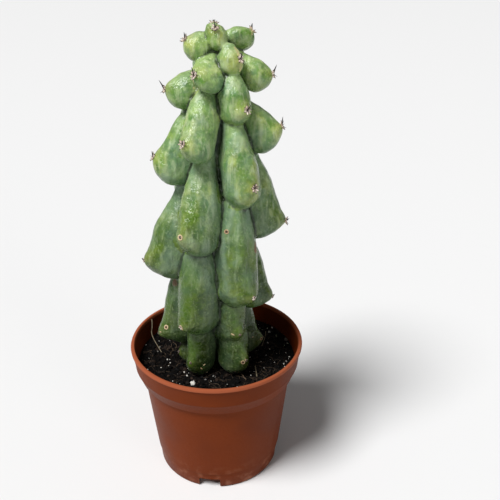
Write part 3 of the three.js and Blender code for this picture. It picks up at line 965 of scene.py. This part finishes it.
# The scars
# Where old areoles have dropped their spines, dry rings of cork are left round a dark hole. Small tan nicks
# and dashes mark the old skin as well.
RING_SCARS = (
    (226.5, 231.8, 0.0011), (166.2, 327.2, 0.0012), (180.2, 237.6, 0.0013), (180.7, 327.2, 0.0011),
    (243, 362.4, 0.0011), (261.3, 338.7, 0.0009),
)
DASH_SCARS = (
    (232.8, 334.5, 0.0013), (201.5, 368.5, 0.0012), (204.4, 364.8, 0.0010), (207, 372, 0.0011),
    (252.8, 337, 0.0008), (245.5, 360, 0.0010), (160.5, 332, 0.0010), (182.5, 329.5, 0.0009),
)
BACK_AZIMUTHS = (100, 250)
BACK_HEIGHTS = (0.095, 0.20)
BACK_SCARS = 14
BACK_SIZES = (0.0009, 0.0012)
LONGWAYS = Matrix.Diagonal((1, 0.35, 0.3, 1))


def scar_ring():
    """A ring of cork of unit size."""
    bpy.ops.mesh.primitive_torus_add(major_segments=28, minor_segments=10, major_radius=1, minor_radius=0.36)
    ring = bpy.context.active_object
    dented(ring, "cork", 0.5, 0.25)
    return ring


def pebble(lumps, detail):
    """A lump of unit size, with as much roughness as asked for."""
    bpy.ops.mesh.primitive_ico_sphere_add(subdivisions=detail, radius=1)
    shape = bpy.context.active_object
    dented(shape, "lumps", 0.8, lumps)
    return shape


def plain_material(name, first, second, scale, roughness, depth):
    """Two colours in patches, with a rough face."""
    material, shader, place = new_material(name)
    patches = mottle(place, scale, 0.35, 0.65, 3)
    share = scaled(kept(place, "tone"), 0.5, times(patches, 0.5))
    colour = blended(share, sRGB(*first), sRGB(*second))
    fed(shader, {"Base Color": colour, "Roughness": roughness, "Normal": bumped(patches, depth)})
    return material


rings, holes, dashes = [], [], []
ring_spots, dash_spots = (
    [(*seen_on(skin_surface, pixel), size) for *pixel, size in scars] for scars in (RING_SCARS, DASH_SCARS)
)
for number in range(BACK_SCARS):
    side = outward(draw.uniform(*BACK_AZIMUTHS))
    height = draw.uniform(*BACK_HEIGHTS)
    point, normal, _, _ = skin_surface.ray_cast(axis_at(height) + side * 0.1, -side)
    if point is not None:
        kind = ring_spots if number % 3 == 0 else dash_spots
        kind.append((point, normal, draw.uniform(*BACK_SIZES)))
for point, normal, size in ring_spots:
    rings.append(frame_along(point, normal, size, size * 0.55, draw.uniform(0, 6)))
    holes.append(frame_along(point, normal, size * 0.8, size * 0.3, draw.uniform(0, 6)))
for point, normal, size in dash_spots:
    dashes.append(frame_along(point, normal, size, size, draw.uniform(0, 3)) @ LONGWAYS)
cork = plain_material("scar_cork", (214, 196, 158), (160, 128, 92), 1500, 0.9, 0.0001)
scattered("scar_rings", scar_ring(), rings, cork, draw)
dark_hole = plain_material("scar_hole", (48, 32, 22), (84, 60, 40), 1500, 0.9, 0.0001)
scattered("scar_holes", pebble(0.2, 2), holes, dark_hole, draw)
scattered("scar_dashes", pebble(0.5, 3), dashes, cork, draw)


# The crumbs
# The loose top of the peat mix: crumbs of peat, from dust to the size of a lentil, that lie half sunk all
# over it. Some of the smallest stick to the foot of the stem.
CRUMB_SPREAD = 0.0535
SMALL_CRUMBS = 3600
SMALL_SIZES = (0.0004, 0.0010)
LARGE_CRUMBS = 620
LARGE_SIZES = (0.0010, 0.0023)
FOOT_CRUMBS = 420
FOOT_SIZES = (0.0004, 0.0011)
FOOT_CRUMB_HEIGHTS = (0.0825, 0.0895)
SOIL_FOUND_ABOVE = 0.0815
ABOVE_SOIL = Vector((0, 0, 0.12))
DOWN = Vector((0, 0, -1))

soil_surface = surface_of(soil)


def raised(place, height):
    return place + Vector((0, 0, height))


def tumbled(place, sizes, draw):
    """The frame of a grain that lies at a place in any position, given its size along its three axes."""
    turn = Euler([draw.uniform(0, FULL_TURN) for _ in range(3)]).to_matrix().to_4x4()
    return Matrix.Translation(place) @ turn @ Matrix.Diagonal((*sizes, 1))


def soil_spot(draw, spread):
    """A random spot of the soil's top, clear of the stem's hole."""
    while True:
        away = spread * math.sqrt(draw.random())
        side = outward(draw.uniform(0, 360))
        point, _, _, _ = soil_surface.ray_cast(side * away + ABOVE_SOIL, DOWN)
        if point is not None and point.z > SOIL_FOUND_ABOVE:
            return point


def crumb_frames(draw, count, sizes, spread, rise):
    """Crumbs all over the soil, each with its middle raised by a share of its size."""
    frames = []
    for _ in range(count):
        point = soil_spot(draw, spread)
        size = draw.uniform(*sizes) * draw.uniform(0.6, 1)
        squash = [draw.uniform(0.65, 1) * size for _ in range(3)]
        frames.append(tumbled(raised(point, size * rise), squash, draw))
    return frames


def foot_frames(draw, count, sizes):
    """Crumbs that stick to the skin of the stem's foot, most of them close to the soil."""
    frames = []
    while len(frames) < count:
        side = outward(draw.uniform(0, 360))
        height = between(*FOOT_CRUMB_HEIGHTS, draw.random() ** 2)
        point, _, _, _ = skin_surface.ray_cast(axis_at(height) + side * CRUMB_SPREAD, -side)
        if point is not None:
            size = draw.uniform(*sizes)
            frames.append(tumbled(point, (size, size * 0.7, size * 0.8), draw))
    return frames


def dark_crumb():
    """Nearly black peat, with a few crumbs of dry brown among it."""
    material, shader, place = new_material("peat_crumb")
    dry = worked("POWER", kept(place, "tone"), 5.0)
    brown = blended(dry, sRGB(4, 3, 3), sRGB(56, 44, 36))
    patches = mottle(place, 900, 0.4, 0.65, 3)
    brown = layered(brown, patches, 0.5, (4, 3, 3))
    rough = bumped(patches, 0.0003)
    fed(shader, {"Base Color": brown, "Roughness": 0.6, "Specular IOR Level": 0.12, "Normal": rough})
    return material


CRUMB = dark_crumb()
small = crumb_frames(draw, SMALL_CRUMBS, SMALL_SIZES, CRUMB_SPREAD, 0.2)
small += foot_frames(draw, FOOT_CRUMBS, FOOT_SIZES)
scattered("small_crumbs", pebble(0.3, 1), small, CRUMB, draw)
large = crumb_frames(draw, LARGE_CRUMBS, LARGE_SIZES, CRUMB_SPREAD - 0.0015, 0.2)
scattered("large_crumbs", pebble(0.6, 2), large, CRUMB, draw)


# The perlite
# White grains of puffed volcanic glass, and grey flakes of grit, lying loose among the crumbs. The larger
# ones lie where the photo shows them, given by pixel and by half width in millimetres.
PERLITE = (
    (272, 328, 0.9), (267.2, 328.9, 0.8), (262.9, 330.1, 0.7), (269.2, 332.6, 1.3),
    (287.5, 343.5, 0.7), (267.8, 343.2, 0.8), (269.5, 349.5, 0.7), (250.1, 357.3, 0.7),
    (289.3, 357.3, 0.7), (286.2, 361.6, 0.8), (283.9, 364.2, 0.8), (263.8, 368.5, 0.6),
    (167.5, 359.9, 0.8), (169.8, 360.3, 0.6), (166.6, 369.3, 0.9), (168.9, 366.2, 0.6),
    (161.2, 367.9, 0.6), (187, 376.2, 0.8), (164, 376.2, 0.6), (146, 345.2, 0.6),
    (211, 381.1, 0.9), (192.8, 384.2, 1.9), (213.1, 376, 0.7), (184.4, 372.8, 0.9),
)
GRIT = ((285.9, 340.4, 1.5), (276, 336, 0.9), (205.5, 380, 0.9), (158, 352, 0.8))
LOOSE_GRAINS = 150
LOOSE_SIZES = (0.0003, 0.0006)


def grain_frames(grains, draw):
    """Grains of known size, each resting where the photo shows it."""
    frames = []
    for *pixel, size in grains:
        point, _ = seen_on(soil_surface, pixel)
        squash = (size * MM, size * MM * 0.8, size * MM * 0.6)
        frames.append(tumbled(raised(point, size * MM * 0.35), squash, draw))
    return frames


white = plain_material("perlite", (236, 234, 226), (204, 200, 190), 1800, 0.85, 0.0002)
grains = grain_frames(PERLITE, draw)
grains += crumb_frames(draw, LOOSE_GRAINS, LOOSE_SIZES, CRUMB_SPREAD - 0.001, 0.5)
scattered("perlite_grains", pebble(0.7, 2), grains, white, draw)
grey = plain_material("grit", (150, 146, 140), (104, 100, 96), 1200, 0.8, 0.0002)
scattered("grit_flakes", pebble(0.7, 2), grain_frames(GRIT, draw), grey, draw)


# The straws
# Dry roots and straws in the peat mix. Most lie flat in it as short fibres. Three longer ones and a twig
# stand out, and one of them leans on the pot's inner wall.
FIBRES = 320
FIBRE_LENGTHS = (0.0025, 0.0075)
FIBRE_SIDES = 5
STRAW_SIDES = 8

pot_surface = surface_of(pot)


def strand(name, places, width, sides):
    """A round strand through some points, thinner towards its far end."""
    curve = bpy.data.curves.new(name, "CURVE")
    curve.dimensions = "3D"
    curve.bevel_depth = width
    curve.bevel_resolution = (sides - 4) // 2
    curve.use_fill_caps = True
    line = curve.splines.new("NURBS")
    line.points.add(len(places) - 1)
    for number, (knot, place) in enumerate(zip(line.points, places)):
        knot.co = (*place, 1)
        knot.radius = 1 - 0.5 * number / len(places)
    line.order_u = 3
    line.use_endpoint_u = True
    line.resolution_u = 5
    piece = bpy.data.objects.new(name, curve)
    bpy.context.collection.objects.link(piece)
    picked([piece])
    bpy.ops.object.convert(target="MESH")
    return bpy.context.active_object


def curled_fibre():
    """A fibre of unit length that lies on the ground in a loose curl."""
    knots = [(0, 0, 0), (0.3, 0.12, 0.03), (0.6, 0.05, 0.05), (0.85, -0.12, 0.02), (1.0, -0.1, -0.02)]
    return strand("fibre", knots, 0.016, FIBRE_SIDES)


fibres = []
for _ in range(FIBRES):
    point = soil_spot(draw, CRUMB_SPREAD - 0.005)
    length = draw.uniform(*FIBRE_LENGTHS)
    tilt = Euler((draw.uniform(-0.5, 0.5), draw.uniform(-0.25, 0.12), draw.uniform(0, FULL_TURN)))
    flip = Matrix.Diagonal((length, length * draw.choice((-1, 1)) * draw.uniform(0.5, 1.5), length, 1))
    fibres.append(Matrix.Translation(raised(point, 0.0005)) @ tilt.to_matrix().to_4x4() @ flip)
brown_fibre = plain_material("peat_fibre", (44, 32, 24), (112, 92, 70), 700, 0.8, 0.0001)
scattered("peat_fibres", curled_fibre(), fibres, brown_fibre, draw)


def on_soil(right, down, above=0.0006):
    return raised(seen_on(soil_surface, (right, down))[0], above)


def toned(piece, tone):
    """Gives a piece made alone the tone that each copy of a scattered one has."""
    stored(piece, "tone", np.full(len(piece.data.vertices), tone))


lean_top = seen_on(pot_surface, (151, 319))[0]
lean_top += Vector((-lean_top.x, -lean_top.y, 0)).normalized() * 0.0008
lean_middle = on_soil(151.4, 338, 0.004)
leaning = [lean_top, (lean_top + lean_middle) / 2 + Vector((0.0008, 0, 0)), lean_middle]
leaning += [on_soil(156, 345.5, 0.002), on_soil(162.6, 354.4)]
hair = [on_soil(265.8, 334.6, 0.003), on_soil(264.9, 340.9, 0.0015), on_soil(261.8, 346.4)]
short = [on_soil(256.9, 377.1), on_soil(255.2, 367.3, 0.001)]
straw = plain_material("dry_straw", (150, 138, 112), (104, 92, 72), 600, 0.75, 0.0001)
straws = (("leaning_straw", leaning, 0.0004), ("curved_hair", hair, 0.00025), ("short_straw", short, 0.0004))
for name, places, width in straws:
    piece = strand(name, places, width, STRAW_SIDES)
    toned(piece, draw.random())
    finished(piece, straw)
twig = strand("twig", [on_soil(240.8, 374.2), on_soil(246, 380.5, 0.0008)], 0.0005, STRAW_SIDES)
toned(twig, 0.6)
finished(twig, brown_fibre)


# The floor and light
# A plain pale floor in a white studio. Most of the light falls from a broad source high on the left, and a
# weak lamp on the right fills the shadows.
STUDIO_WIDTH = 30
BELOW_POT = -0.0002

bpy.ops.mesh.primitive_plane_add(size=STUDIO_WIDTH, location=(0, 0, BELOW_POT))
floor = bpy.context.active_object
floor.name = "floor"
pale, shader, _ = new_material("pale_floor")
fed(shader, {"Base Color": (0.8, 0.8, 0.8, 1), "Roughness": 0.9})
floor.data.materials.append(pale)

world = bpy.data.worlds.new("studio")
world.use_nodes = True
fed(world.node_tree.nodes["Background"], {"Color": (1, 1, 1, 1), "Strength": 0.13})
bpy.context.scene.world = world
bpy.context.scene.view_settings.view_transform = "Standard"


def lamp(kind, name, power, direction, place=(0, 0, 0)):
    bpy.ops.object.light_add(type=kind, location=place)
    light = bpy.context.active_object
    light.name = name
    light.data.energy = power
    light.rotation_euler = Vector(direction).to_track_quat("-Z", "Y").to_euler()
    return light.data


key = lamp("SUN", "key_lamp", 3.8, (2.6, 1.9, -5.0))
key.angle = math.radians(24)
fill = lamp("AREA", "fill_lamp", 12, (-2.2, 2.6, -1.05), (2.2, -2.6, 1.2))
fill.shape = "DISK"
fill.size = 1.6
